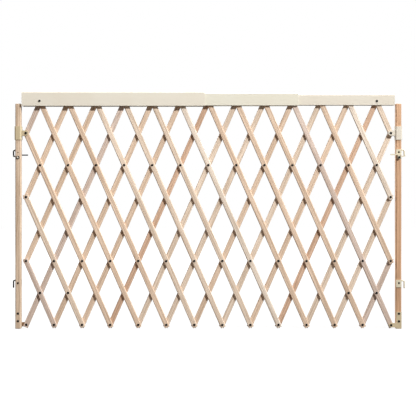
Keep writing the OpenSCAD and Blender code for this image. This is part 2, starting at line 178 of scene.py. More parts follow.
class GateColours(bpy.types.PropertyGroup):
    """Colours of the gate's finishes"""

    cream_wood: colour("Cream wood", "The palest slats", 242, 230, 215)
    pale_wood: colour("Pale wood", "Pale slats", 240, 223, 204)
    honey_wood: colour("Honey wood", "Warm slats", 236, 213, 190)
    russet_wood: colour("Russet wood", "The reddest slats", 223, 190, 164)
    ash_wood: colour("Ash wood", "Greyish slats", 225, 208, 196)
    left_post: colour("Left post", "Wood of the left post", 221, 200, 177)
    right_post: colour("Right post", "Wood of the right post", 224, 184, 150)
    outer_rail: colour("Outer rail", "Plastic of the left rail section", 212, 208, 195)
    middle_rail: colour("Middle rail", "Plastic of the middle rail section", 211, 209, 195)
    inner_rail: colour("Inner rail", "Plastic of the right rail section", 209, 204, 191)
    # The left collar is the right one's moulding turned half a turn; its darker olive colour is
    # painted shade
    left_collar: colour("Left collar", "Plastic of the left collar", 188, 175, 144)
    right_collar: colour("Right collar", "Plastic of the right collar", 214, 208, 194)
    # The left foot bracket is the right one turned half a turn; its darker brown plating colour is
    # painted shade
    left_foot: colour("Left foot", "Plating of the left foot bracket", 158, 128, 98)
    right_foot: colour("Right foot", "Plating of the right foot bracket", 194, 178, 146)
    dark_steel: colour("Dark steel", "Coating of the left hooks and keeper", 14, 12, 10)
    light_steel: colour("Light steel", "Coating of the right hooks and keeper", 212, 204, 180)
    rivet_steel: colour("Rivet steel", "Darkened plating of the rivets and screws", 18, 15, 12)
    # Bright plating on each cap nut's flat end only: a painted highlight, the rest of the nut
    # being dark rivet steel
    nut_highlight_plating: colour("Nut steel", "Plating of the keepers' cap nuts", 206, 202, 192)
    # Near black, painted in the rivets' bores as the shade of their recess
    bore_painted_shade: colour("Bore", "Inside of the rivets' bores", 8, 7, 6)
    floor: colour("Floor", "The floor, which the camera sees lifted to white", 90, 90, 90)
    bounced_light: colour("Bounced light", "Faint light from all sides", 255, 180, 95)


# ---------------------------------------------------------------- modelling


def select_only(*pieces):
    """Selects these objects and nothing else, the first one active."""
    bpy.ops.object.select_all(action="DESELECT")
    for piece in pieces:
        piece.select_set(True)
    bpy.context.view_layer.objects.active = pieces[0]


def named(piece, name):
    """Gives a piece and its mesh the same name."""
    piece.name = name
    piece.data.name = name
    return piece


def settle(name):
    """Names the new active object and moves its place, turn and scale into its mesh."""
    bpy.ops.object.transform_apply()
    return named(bpy.context.object, name)


def add_box(name, low, high):
    """A box between two corners."""
    low, high = Vector(low), Vector(high)
    bpy.ops.mesh.primitive_cube_add(size=1, location=(low + high) / 2, scale=high - low)
    return settle(name)


def add_rod(name, radius, centre, from_y, to_y, sides=32):
    """A round rod along Y, at the X and Z of centre."""
    bpy.ops.mesh.primitive_cylinder_add(
        vertices=sides, radius=radius, depth=to_y - from_y,
        location=(centre.x, (from_y + to_y) / 2, centre.z), rotation=(math.pi / 2, 0, 0),
    )
    return settle(name)


def drill(sizes, centre, from_y, to_y):
    """A rod along Y that cuts the hole of a rivet or bolt."""
    return add_rod("drill", sizes.hole_radius, centre, from_y, to_y, 24)


def copy_of(piece, name):
    """A copy with its own mesh."""
    twin = piece.copy()
    twin.data = piece.data.copy()
    bpy.context.collection.objects.link(twin)
    return named(twin, name)


def moved(piece, matrix):
    """Moves a piece by a matrix, in its mesh."""
    select_only(piece)
    piece.matrix_world = matrix
    bpy.ops.object.transform_apply()
    return piece


def put(piece, place):
    """Moves a piece from the origin to a place, in its mesh."""
    return moved(piece, Matrix.Translation(place))


def drop(*pieces):
    """Removes pieces that aren't needed any more, and their meshes."""
    for piece in pieces:
        mesh = piece.data
        bpy.data.objects.remove(piece)
        bpy.data.meshes.remove(mesh)


def modify(piece, kind, **settings):
    """Changes a piece's mesh by one modifier."""
    select_only(piece)
    bpy.ops.object.modifier_add(type=kind)
    modifier = piece.modifiers[-1]
    for name, value in settings.items():
        setattr(modifier, name, value)
    bpy.ops.object.modifier_apply(modifier=modifier.name)


def round_edges(piece, radius, segments, test):
    """Rounds the edges whose two ends pass the test."""
    select_only(piece)
    bpy.context.tool_settings.mesh_select_mode = (False, True, False)
    mesh = piece.data
    for part in (*mesh.vertices, *mesh.polygons):
        part.select = False
    for edge in mesh.edges:
        ends = [mesh.vertices[index].co for index in edge.vertices]
        edge.select = test(*ends)
    bpy.ops.object.mode_set(mode="EDIT")
    bpy.ops.mesh.bevel(offset=radius, segments=segments, affect="EDGES", clamp_overlap=True)
    bpy.ops.object.mode_set(mode="OBJECT")


def soften(piece, radius, segments=2):
    """Rounds every sharp edge of a piece a little."""
    modify(
        piece, "BEVEL", width=radius, segments=segments,
        limit_method="ANGLE", angle_limit=SOFTENED_ANGLE,
    )


def combine(piece, operation, *tools):
    """Applies a Boolean operation with each of the tools, and removes the tools."""
    for tool in tools:
        modify(piece, "BOOLEAN", operation=operation, solver="EXACT", object=tool)
    drop(*tools)
    if not piece.data.polygons:
        raise RuntimeError(f"nothing was left of {piece.name}")
    return piece


def cut(piece, *tools):
    """Cuts the tools from a piece."""
    return combine(piece, "DIFFERENCE", *tools)


def unite(piece, *tools):
    """Makes a piece and the tools one solid."""
    return combine(piece, "UNION", *tools)


def join(name, pieces):
    """One object with the shells of all the pieces."""
    select_only(*pieces)
    if len(pieces) > 1:
        bpy.ops.object.join()
    return named(pieces[0], name)


def extrude(x=0.0, z=0.0):
    """Draws what is selected in edit mode out by that much."""
    bpy.ops.mesh.extrude_region_move(TRANSFORM_OT_translate={"value": (x, 0, z)})


def finish_mesh():
    """Turns all normals outwards and leaves edit mode."""
    bpy.ops.mesh.select_all(action="SELECT")
    bpy.ops.mesh.normals_make_consistent(inside=False)
    bpy.ops.object.mode_set(mode="OBJECT")


def turned(name, profile, sides=28):
    """A shape turned on a lathe along Y: rings of (radius, depth), closed at both ends."""
    radius, depth = profile[0]
    bpy.ops.mesh.primitive_circle_add(
        vertices=sides, radius=radius, fill_type="NGON", location=(0, 0, -depth)
    )
    bpy.ops.object.transform_apply()
    bpy.ops.object.mode_set(mode="EDIT")
    bpy.ops.mesh.select_all(action="SELECT")
    for next_radius, next_depth in profile[1:]:
        extrude(z=depth - next_depth)
        share = next_radius / radius
        bpy.ops.transform.resize(value=(share, share, 1), center_override=(0, 0, -next_depth))
        radius, depth = next_radius, next_depth
    finish_mesh()
    bpy.context.object.rotation_euler.x = math.pi / 2
    return settle(name)


def paint_faces(piece, test):
    """Gives the faces that pass the test the piece's second material."""
    for face in piece.data.polygons:
        if test(face.center, face.normal):
            face.material_index = 1


def lay_grain(piece, shift):
    """Stores where each point is in its plank, with the grain along Z, before it is placed."""
    mesh = piece.data
    grain = mesh.attributes.new("grain", "FLOAT_VECTOR", "POINT")
    for vertex, value in zip(mesh.vertices, grain.data):
        value.vector = vertex.co + Vector((0, 0, shift))


def coat(piece, *materials):
    """Gives a piece its materials, the first one on every face."""
    for material in materials:
        piece.data.materials.append(material)
    return piece


def dress(piece, node):
    """Smooths a finished and coated piece, and hangs it on its node's body."""
    select_only(piece)
    bpy.ops.object.shade_smooth_by_angle(angle=SMOOTH_ANGLE)
    modify(piece, "WEIGHTED_NORMAL", keep_sharp=True)
    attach(piece, BODY_OF[node])
    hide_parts(node)


def dress_both(suffix, node, build, coats=None):
    """Builds a right piece, makes the left one of it by half a turn, and dresses both."""
    right = build("right_" + suffix)
    left = moved(copy_of(right, "left_" + suffix), HALF_TURN)
    for piece, side in ((left, "left"), (right, "right")):
        if coats:
            coat(piece, coats[side])
        dress(piece, f"{side}_{node}")


# ---------------------------------------------------------------- shading


GROUPS = {}
# What the node group of a finish puts out
SKIN = {"Color": "Color", "Roughness": "Float", "Height": "Float"}


class Wiring:
    """Adds nodes to one tree and links them up."""

    def __init__(self, tree):
        self.tree = tree

    def add(self, kind, inputs=None, **settings):
        made = self.tree.nodes.new("ShaderNode" + kind)
        for name, value in settings.items():
            setattr(made, name, value)
        self.feed(made.inputs, inputs or {})
        return made

    def feed(self, sockets, values):
        """Links each socket that is named to its value, or sets it to the value."""
        for name, value in values.items():
            if isinstance(value, bpy.types.NodeSocket):
                self.tree.links.new(value, sockets[name])
            else:
                sockets[name].default_value = value

    def group(self, build, inputs):
        """Places a node group, which is built the first time, and gives its outputs."""
        placed = self.tree.nodes.new("ShaderNodeGroup")
        placed.node_tree = GROUPS.get(build) or GROUPS.setdefault(build, build())
        self.feed(placed.inputs, inputs)
        return placed.outputs

    def math(self, operation, first, second=0.0):
        return self.add("Math", {0: first, 1: second}, operation=operation).outputs[0]

    def plus(self, first, second):
        return self.math("ADD", first, second)

    def minus(self, first, second):
        return self.math("SUBTRACT", first, second)

    def times(self, first, second):
        return self.math("MULTIPLY", first, second)

    def stretch(self, vector, *scale):
        return self.add("VectorMath", {0: vector, 1: scale}, operation="MULTIPLY").outputs[0]

    def noise(self, vector, scale, detail=2.0, roughness=0.5):
        inputs = {"Vector": vector, "Scale": scale, "Detail": detail, "Roughness": roughness}
        return self.add("TexNoise", inputs).outputs["Fac"]

    def between(self, value, low, high, to_low=0.0, to_high=1.0):
        """Eases from to_low to to_high while the value runs from low to high."""
        inputs = {
            "Value": value, "From Min": low, "From Max": high, "To Min": to_low, "To Max": to_high,
        }
        return self.add("MapRange", inputs, interpolation_type="SMOOTHSTEP").outputs["Result"]

    def mix(self, share, first, second, blend="MIX"):
        made = self.add("Mix", {"Factor": share}, data_type="RGBA", blend_type=blend)
        places = [place for place, socket in enumerate(made.inputs) if socket.type == "RGBA"]
        self.feed(made.inputs, dict(zip(places, (first, second))))
        return next(socket for socket in made.outputs if socket.type == "RGBA")


def new_group(name, inputs, outputs):
    """An empty node group with typed sockets, its wiring, and its two ends."""
    tree = bpy.data.node_groups.new(name, "ShaderNodeTree")
    for way, sockets in (("INPUT", inputs), ("OUTPUT", outputs)):
        for label, kind in sockets.items():
            tree.interface.new_socket(label, in_out=way, socket_type="NodeSocket" + kind)
    start = tree.nodes.new("NodeGroupInput").outputs
    end = tree.nodes.new("NodeGroupOutput").inputs
    return Wiring(tree), start, end


def wood_figure_group():
    """Growth rings, fibres and pores of a plank whose grain runs along Z."""
    wiring, given, out = new_group(
        "Wood figure",
        {"Vector": "Vector", "Tone": "Color", "Deep Tone": "Color", "Ring Gap": "Float",
         "Figure": "Float"},
        SKIN,
    )
    place = given["Vector"]
    slow = wiring.stretch(place, 1, 1, 0.07)
    parts = wiring.add("SeparateXYZ", {"Vector": place}).outputs
    sway = wiring.minus(wiring.noise(slow, 38, 3), 0.5)
    across = wiring.plus(parts["X"], wiring.times(sway, 0.03))
    across = wiring.plus(across, wiring.times(parts["Y"], 0.35))
    ring = wiring.math("FRACT", wiring.math("DIVIDE", across, given["Ring Gap"]))
    late = wiring.times(wiring.between(ring, 0.25, 0.9), wiring.between(ring, 1.0, 0.93))
    streaks = wiring.noise(wiring.stretch(place, 1, 1, 0.015), 900, 4, 0.6)
    fibres = wiring.between(streaks, 0.3, 0.7)
    specks = wiring.noise(wiring.stretch(place, 1, 1, 0.06), 1700, 1)
    pores = wiring.between(specks, 0.66, 0.74)
    broad = wiring.between(wiring.noise(slow, 60, 2), 0.35, 0.7)
    bands = wiring.noise(wiring.stretch(place, 1, 1, 0.02), 190, 2)
    share = wiring.times(late, given["Figure"])
    share = wiring.plus(share, wiring.times(broad, 0.2))
    share = wiring.plus(share, wiring.times(wiring.between(bands, 0.4, 0.62), 0.45))
    share = wiring.plus(share, wiring.times(fibres, 0.2))
    toned = wiring.mix(share, given["Tone"], given["Deep Tone"])
    raised = wiring.minus(wiring.times(fibres, 0.5), pores)
    wiring.feed(out, {
        "Color": wiring.mix(wiring.times(pores, 0.45), toned, given["Deep Tone"], "MULTIPLY"),
        "Roughness": wiring.between(fibres, 0, 1, 0.5, 0.68),
        "Height": wiring.plus(raised, wiring.times(late, 0.5)),
    })
    return wiring.tree


def edge_shade_group():
    """Painted shade along a plank's long rounded edges, as a mask broken up by noise."""
    wiring, given, out = new_group(
        "Rubbed edges",
        {"Vector": "Vector", "Half Width": "Float", "Edge": "Float"},
        {"Mask": "Float"},
    )
    parts = wiring.add("SeparateXYZ", {"Vector": given["Vector"]}).outputs
    inner = wiring.minus(given["Half Width"], given["Edge"])
    rim = wiring.between(wiring.math("ABSOLUTE", parts["X"]), inner, given["Half Width"])
    broken = wiring.noise(wiring.stretch(given["Vector"], 1, 1, 0.2), 260, 3, 0.65)
    wiring.feed(out, {"Mask": wiring.times(rim, wiring.between(broken, 0.4, 0.65))})
    return wiring.tree


def moulding_group():
    """Moulded plastic: slow changes of tone, a fine texture, and scuffs along X."""
    wiring, given, out = new_group(
        "Moulding", {"Vector": "Vector", "Tone": "Color", "Scuffs": "Float"}, SKIN
    )
    aged_tone = (0.93, 0.9, 0.86, 1)
    scuffed_tone = (0.55, 0.5, 0.44, 1)
    slow = wiring.between(wiring.noise(given["Vector"], 7, 2), 0.35, 0.65)
    fine = wiring.noise(given["Vector"], 1500, 2)
    drawn = wiring.noise(wiring.stretch(given["Vector"], 0.02, 1, 1), 1100, 2, 0.6)
    scuffs = wiring.times(wiring.between(drawn, 0.62, 0.72), given["Scuffs"])
    shade = wiring.mix(wiring.times(slow, 0.5), given["Tone"], aged_tone, "MULTIPLY")
    satin = wiring.between(slow, 0, 1, 0.34, 0.42)
    wiring.feed(out, {
        "Color": wiring.mix(wiring.times(scuffs, 0.35), shade, scuffed_tone),
        "Roughness": wiring.plus(satin, wiring.times(scuffs, 0.2)),
        "Height": wiring.minus(fine, scuffs),
    })
    return wiring.tree


def plating_group():
    """Plated or coated steel: cloudy tone, fine scratches and rubbed spots."""
    wiring, given, out = new_group(
        "Plating",
        {"Vector": "Vector", "Tone": "Color", "Rubbed Tone": "Color", "Rub": "Float"},
        SKIN,
    )
    cloudy_tone = (0.8, 0.78, 0.74, 1)
    clouds = wiring.between(wiring.noise(given["Vector"], 130, 3), 0.3, 0.7)
    lines = wiring.noise(wiring.stretch(given["Vector"], 1, 0.3, 0.08), 1600, 2)
    scratches = wiring.between(lines, 0.6, 0.7)
    spots = wiring.between(wiring.noise(given["Vector"], 420, 4, 0.7), 0.58, 0.66)
    rubbed = wiring.times(wiring.math("MAXIMUM", scratches, spots), given["Rub"])
    shade = wiring.mix(wiring.times(clouds, 0.35), given["Tone"], cloudy_tone, "MULTIPLY")
    wiring.feed(out, {
        "Color": wiring.mix(rubbed, shade, given["Rubbed Tone"]),
        "Roughness": wiring.between(clouds, 0, 1, 0.28, 0.42),
        "Height": wiring.minus(clouds, scratches),
    })
    return wiring.tree


def opaque(tone):
    """A colour with its alpha, as a socket takes it."""
    return (*tone, 1.0)


def deeper(tone, share):
    """A darker and slightly redder colour of the same wood."""
    red, green, blue = tone
    return (red * share, green * share * 0.92, blue * share * 0.84, 1.0)


def new_material(name):
    """A material, its wiring, and the inputs of its Principled BSDF."""
    material = bpy.data.materials.new(name)
    material.use_nodes = True
    shader = next(n for n in material.node_tree.nodes if n.type == "BSDF_PRINCIPLED")
    return material, Wiring(material.node_tree), shader.inputs


def wrap(wiring, shader, skin, depth, others, strength=0.5):
    """Feeds a skin, raised by its height, to a shader, and then what differs from it."""
    height = {"Height": skin["Height"], "Distance": depth, "Strength": strength}
    bump = wiring.add("Bump", height).outputs["Normal"]
    shown = {"Base Color": skin["Color"], "Roughness": skin["Roughness"], "Normal": bump}
    wiring.feed(shader, {**shown, **others})


def wood(name, tone, half_width, ring_gap):
    """Sanded wood of one tone, laid out by a piece's grain attribute."""
    material, wiring, shader = new_material(name)
    grain = wiring.add("Attribute", attribute_name="grain").outputs["Vector"]
    skin = wiring.group(
        wood_figure_group,
        {"Vector": grain, "Tone": opaque(tone), "Deep Tone": deeper(tone, 0.6),
         "Ring Gap": ring_gap, "Figure": 0.5},
    )
    edges = wiring.group(
        edge_shade_group, {"Vector": grain, "Half Width": half_width, "Edge": 2.6 * MM}
    )
    # The wood is darkened along both long rounded edges: painted shade there
    shade = wiring.mix(wiring.times(edges["Mask"], 0.6), skin["Color"], deeper(tone, 0.62))
    others = {"Base Color": shade, "Specular IOR Level": 0.25}
    wrap(wiring, shader, skin, 0.15 * MM, others)
    return material


def end_grain(name, tone):
    """The sawn end of a slat or post: darker, with open pores."""
    material, wiring, shader = new_material(name)
    grain = wiring.add("Attribute", attribute_name="grain").outputs["Vector"]
    skin = wiring.group(
        wood_figure_group,
        {"Vector": wiring.stretch(grain, 1, 1, 0), "Tone": deeper(tone, 0.8),
         "Deep Tone": deeper(tone, 0.38), "Ring Gap": 1.6 * MM, "Figure": 0.7},
    )
    wrap(wiring, shader, skin, 0.2 * MM, {"Roughness": 0.8}, 0.6)
    return material


def plastic(name, tone, scuffs):
    """Satin moulded plastic."""
    material, wiring, shader = new_material(name)
    place = wiring.add("TexCoord").outputs["Object"]
    skin = wiring.group(
        moulding_group, {"Vector": place, "Tone": opaque(tone), "Scuffs": scuffs}
    )
    wrap(wiring, shader, skin, 0.04 * MM, {"Specular IOR Level": 0.45})
    return material


def plated(name, tone, rubbed_tone, metallic, rub, shine):
    """Plated or coated steel, with more or less of a shine."""
    material, wiring, shader = new_material(name)
    place = wiring.add("TexCoord").outputs["Object"]
    skin = wiring.group(
        plating_group,
        {"Vector": place, "Tone": opaque(tone), "Rubbed Tone": opaque(rubbed_tone), "Rub": rub},
    )
    others = {"Metallic": metallic, "Specular IOR Level": shine}
    wrap(wiring, shader, skin, 0.03 * MM, others)
    return material


def painted_bore_shade(name, tone):
    """Painted shade for the inside of a rivet's bore: near black, with faint lighter clouds."""
    material, wiring, shader = new_material(name)
    cloud = wiring.noise(wiring.add("TexCoord").outputs["Object"], 900, 2)
    shade = wiring.mix(cloud, opaque(tone), deeper(tone, 2.5))
    wiring.feed(shader, {"Base Color": shade, "Roughness": 0.7, "Specular IOR Level": 0.2})
    return material


def make_once(name, build, *values):
    """The material of that name, built the first time that it is asked for."""
    if name not in bpy.data.materials:
        return build(name, *values)
    return bpy.data.materials[name]


def rivet_materials(context):
    """The plating of rivets and screws, and the painted shade inside a bore."""
    colours = context.scene.gate_colours
    rubbed = display(150, 144, 136)
    steel = make_once("Rivet steel", plated, colours.rivet_steel, rubbed, 0.1, 0.15, 0.2)
    return steel, make_once("Rivet bore", painted_bore_shade, colours.bore_painted_shade)


def hardware_materials(context):
    """The coatings of the hooks, clamps and keepers of the two sides."""
    colours = context.scene.gate_colours
    dark_rubbed = display(104, 94, 84)
    light_rubbed = display(170, 160, 130)
    dark = make_once("Dark steel", plated, colours.dark_steel, dark_rubbed, 0.0, 0.1, 0.05)
    light = make_once("Light steel", plated, colours.light_steel, light_rubbed, 0.2, 0.3, 0.5)
    return {"left": dark, "right": light}


# ---------------------------------------------------------------- pieces


def crossing(column, row):
    """The place where two slats cross."""
    return FIRST_CROSSING + Vector((column * HALF_PITCH, 0, row * ROW_RISE))


def slat_path(layer, number):
    """The column and row of each crossing of a slat, from its lowest one up."""
    lean = -1 if layer == "front" else 1
    start = 2 * number if layer == "front" else 2 * (number - ROWS // 2 - 1)
    path = [(start + lean * row, row) for row in range(ROWS + 1)]
    return [(column, row) for column, row in path if 0 <= column <= COLUMNS]


def holder(column, row):
    """What holds the slats at a crossing, or None where they aren't drilled."""
    at_end = column in (0, COLUMNS)
    near_end = column <= END_COLUMNS or column >= COLUMNS - END_COLUMNS
    if at_end and row == 0:
        return "foot rivet"
    if at_end and row == ROWS - 1:
        return "collar rivet"
    if row == ROWS and column in (1, COLUMNS - 1):
        return "rail rivet"
    if at_end or row in RIVETED_ROWS or (row == 1 and near_end):
        return "rivet"
    return None


def rail_pin(side):
    """The place of the rivet that holds the rail section of that end."""
    return crossing(1 if side == "left" else COLUMNS - 1, ROWS)


def along_grain(start, end):
    """True for an edge that runs the length of an upright slat or post."""
    return abs(start.z - end.z) > LONG_EDGE


def slat_blank(sizes, links):
    """An upright slat with rounded edges, its lowest crossing at the origin."""
    half = sizes.slat_width / 2
    top = links * LINK + sizes.slat_end
    blank = add_box("slat_blank", (-half, SLAT_IN, -sizes.slat_end), (half, SLAT_OUT, top))
    round_edges(blank, sizes.slat_round, 4, along_grain)
    soften(blank, 0.5 * MM)
    return blank


def make_slat(context, blank, layer, number, tone_name):
    """One slat: its blank drilled, grained, leaned over and set on its lowest crossing."""
    sizes = context.scene.gate_sizes
    tone = getattr(context.scene.gate_colours, tone_name + "_wood")
    kind = tone_name.capitalize() + " slat "
    path = slat_path(layer, number)
    node = f"{layer}_slat_{number:02d}"
    slat = copy_of(blank, node + "_wood")
    drills = [
        drill(sizes, Vector((0, 0, step * LINK)), 0, 2 * SLAT_OUT)
        for step, place in enumerate(path)
        if holder(*place)
    ]
    cut(slat, join("drills", drills))
    coat(
        slat,
        make_once(kind + "wood", wood, tone, sizes.slat_width / 2, 4.2 * MM),
        make_once(kind + "end", end_grain, tone),
    )
    paint_faces(slat, lambda centre, normal: abs(normal.z) > 0.8)
    lay_grain(slat, PLANK_STEP * (number if layer == "front" else -number))
    if layer == "front":
        moved(slat, HALF_TURN)
    turn = Matrix.Rotation(-LEAN if layer == "front" else LEAN, 4, "Y")
    moved(slat, Matrix.Translation(crossing(*path[0])) @ turn)
    dress(slat, node)


def rivet(name, context, front_y, back_y):
    """A tubular rivet: its rolled and bored end in front, its domed head behind."""
    sizes = context.scene.gate_sizes
    head, bore, shank = sizes.rivet_radius, sizes.rivet_bore, sizes.shank_radius
    rise = sizes.rivet_height
    rolled_end = [
        (0.8 * bore, front_y - 0.15 * rise),
        (bore, front_y - 0.45 * rise),
        (bore + 0.08 * head, front_y - 0.9 * rise),
        (bore + 0.16 * head, front_y - rise),
        (bore + 0.26 * head, front_y - 0.85 * rise),
        (head, front_y - 0.25 * rise),
        (head, front_y),
    ]
    domed_head = [
        (head, back_y),
        (head, back_y + 0.25 * rise),
        (0.8 * head, back_y + 0.7 * rise),
        (0.4 * head, back_y + rise),
    ]
    profile = [*rolled_end, (shank, front_y), (shank, back_y), *domed_head]
    made = coat(turned(name, profile, 20), *rivet_materials(context))
    # The faces inside the bore get the second material, near black: painted shade in the recess
    inside = bore + 0.05 * head
    paint_faces(
        made,
        lambda centre, normal: math.hypot(centre.x, centre.z) < inside and centre.y < front_y,
    )
    return made


def collar_depths(sizes):
    """Inner and outer depth of a collar's cheeks."""
    inner = SLAT_OUT + sizes.cheek_gap
    return inner, inner + sizes.cheek_thickness


def shank_height(sizes, level):
    """Height of the middle of a hook's shank."""
    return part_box(f"right_{level}_hook")[1].z - sizes.wire_radius


class GATE_OT_slats(bpy.types.Operator):
    """Model the drilled wooden slats of both layers"""

    bl_idname = "gate.slats"
    bl_label = "Slats"

    def execute(self, context):
        blanks = {}
        for layer, tones in (("front", FRONT_WOOD), ("back", BACK_WOOD)):
            for number, tone_name in enumerate(tones, 1):
                links = len(slat_path(layer, number)) - 1
                if links not in blanks:
                    blanks[links] = slat_blank(context.scene.gate_sizes, links)
                make_slat(context, blanks[links], layer, number, tone_name)
        drop(*blanks.values())
        return {"FINISHED"}


class GATE_OT_rivets(bpy.types.Operator):
    """Model the tubular rivets of the lattice"""

    bl_idname = "gate.rivets"
    bl_label = "Lattice rivets"

    def execute(self, context):
        sizes = context.scene.gate_sizes
        grip = SLAT_OUT + sizes.head_gap
        collar_grip = collar_depths(sizes)[1] + sizes.head_gap
        masters = {
            "rivet": rivet("rivet_master", context, -grip, grip),
            "collar rivet": rivet("collar_rivet_master", context, -collar_grip, collar_grip),
        }
        for number in range(1, SLATS + 1):
            node = f"front_slat_{number:02d}"
            placed = [
                put(copy_of(masters[holder(*place)], "rivet"), crossing(*place))
                for place in slat_path("front", number)
                if holder(*place) in masters
            ]
            dress(join(node + "_rivets", placed), node)
        drop(*masters.values())
        return {"FINISHED"}


class GATE_OT_posts(bpy.types.Operator):
    """Model the two wooden posts with their slots and holes"""

    bl_idname = "gate.posts"
    bl_label = "Posts"

    def execute(self, context):
        post = self.blank(context.scene.gate_sizes)
        for side, plank in (("right", SLATS + 6), ("left", SLATS + 5)):
            tone = getattr(context.scene.gate_colours, side + "_post")
            kind = side.capitalize() + " post "
            made = coat(
                copy_of(post, side + "_post_wood"),
                make_once(kind + "wood", wood, tone, POST_HALF, 5.5 * MM),
                make_once(kind + "end", end_grain, tone),
            )
            paint_faces(made, lambda centre, normal: abs(normal.z) > 0.9)
            lay_grain(made, PLANK_STEP * plank)
            put(made, (POST_MID, 0, 0))
            if side == "left":
                moved(made, HALF_TURN)
            dress(made, side + "_post")
        drop(post)
        return {"FINISHED"}

    def blank(self, sizes):
        """The right post, slotted and drilled, with its middle line at the origin."""
        post = add_box(
            "post_master", (-POST_HALF, -POST_FACE, 0), (POST_HALF, POST_FACE, POST_HIGH.z)
        )
        round_edges(post, sizes.post_round, 5, along_grain)
        soften(post, sizes.post_end, 4)
        past = 2 * POST_FACE
        tools = []
        for level in ("upper", "lower"):
            low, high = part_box(f"right_{level}_hook")
            shank_z = shank_height(sizes, level)
            tail = Vector((low.x + sizes.wire_radius - POST_MID, 0, shank_z))
            screw = Vector((0, 0, shank_z - sizes.screw_below))
            tools.append(add_box(
                "slot",
                (tail.x, -past, shank_z - sizes.wire_radius - PLAY),
                (2 * POST_HALF, low.y + 2 * sizes.wire_radius, high.z + PLAY),
            ))
            tools.append(add_rod("hole", sizes.wire_radius + 0.3 * MM, tail, -past, high.y))
            tools.append(add_rod("hole", sizes.screw_radius + PLAY, screw, -past, past))
        lower = Vector((0, 0, sizes.foot_rivet))
        upper = Vector((0, 0, sizes.foot_rivet + sizes.foot_pitch))
        bolt = Vector((KEEPER_PIVOT.x - POST_MID, 0, KEEPER_PIVOT.z))
        for place in (lower, upper, bolt):
            tools.append(add_rod("hole", sizes.hole_radius, place, -past, past))
        return cut(post, *tools)


def rail_bar(name, half, low, high, rounding):
    """A solid bar with the outline of a rail section."""
    bar = add_box(name, (low.x, -half, low.z), (high.x, half, high.z))
    top = high.z - 1 * MM
    round_edges(
        bar, rounding, 6,
        lambda start, end: min(start.z, end.z) > top and abs(start.x - end.x) > LONG_EDGE,
    )
    return bar


def rail_section(name, sizes, low, high, closed_end, lipped):
    """A rail section: a channel open below, with lips where it carries the next one."""
    wall = sizes.rail_wall
    half = high.y
    section = rail_bar(name, half, low, high, sizes.rail_round)
    hollow_low, hollow_high = low.copy(), high.copy()
    hollow_low.x += wall if closed_end == "left" else -wall
    hollow_high.x += -wall if closed_end == "right" else wall
    hollow_low.z += sizes.lip_height if lipped else -wall
    hollow_high.z -= wall
    hollow = rail_bar("hollow", half - wall, hollow_low, hollow_high, sizes.rail_round - wall)
    cut(section, hollow)
    if lipped:
        cut(section, add_box(
            "mouth",
            (hollow_low.x, sizes.lip_reach - half, low.z - wall),
            (hollow_high.x, half - sizes.lip_reach, low.z + 2 * sizes.lip_height),
        ))
    return section


class GATE_OT_rails(bpy.types.Operator):
    """Model the three telescoping rail sections, their rivets and their spacers"""

    bl_idname = "gate.rails"
    bl_label = "Top rail"

    def execute(self, context):
        sizes = context.scene.gate_sizes
        # The name of each section, the end that it closes, if it has lips, and its scuffs
        sections = (
            ("outer", "left", True, 0.5),
            ("middle", "", True, 0.8),
            ("inner", "right", False, 0.8),
        )
        for name, closed_end, lipped, scuffs in sections:
            node = "rail_" + name
            low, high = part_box(node)
            section = rail_section(node + "_moulding", sizes, low, high, closed_end, lipped)
            if closed_end:
                cut(section, drill(sizes, rail_pin(closed_end), 2 * low.y, 2 * high.y))
            soften(section, 0.35 * MM)
            tone = getattr(context.scene.gate_colours, name + "_rail")
            coat(section, make_once(name.capitalize() + " rail plastic", plastic, tone, scuffs))
            dress(section, node)
        self.fixing(context, "left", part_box("rail_outer")[1].y)
        self.fixing(context, "right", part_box("rail_inner")[1].y)
        return {"FINISHED"}

    def fixing(self, context, side, half):
        """The rivet through an end section, with a spacer on both sides of the slats."""
        sizes = context.scene.gate_sizes
        inner = SLAT_OUT + sizes.head_gap
        outer = half - sizes.rail_wall - sizes.head_gap
        parts = [rivet("rail_rivet", context, -half - sizes.head_gap, half + sizes.head_gap)]
        for low, high in ((-outer, -inner), (inner, outer)):
            spacer = add_rod("spacer", sizes.spacer_radius, Vector(), low, high, 28)
            cut(spacer, drill(sizes, Vector(), -half, half))
            parts.append(coat(spacer, *rivet_materials(context)))
        dress(put(join(side + "_rail_rivet", parts), rail_pin(side)), side + "_rail_fixing")


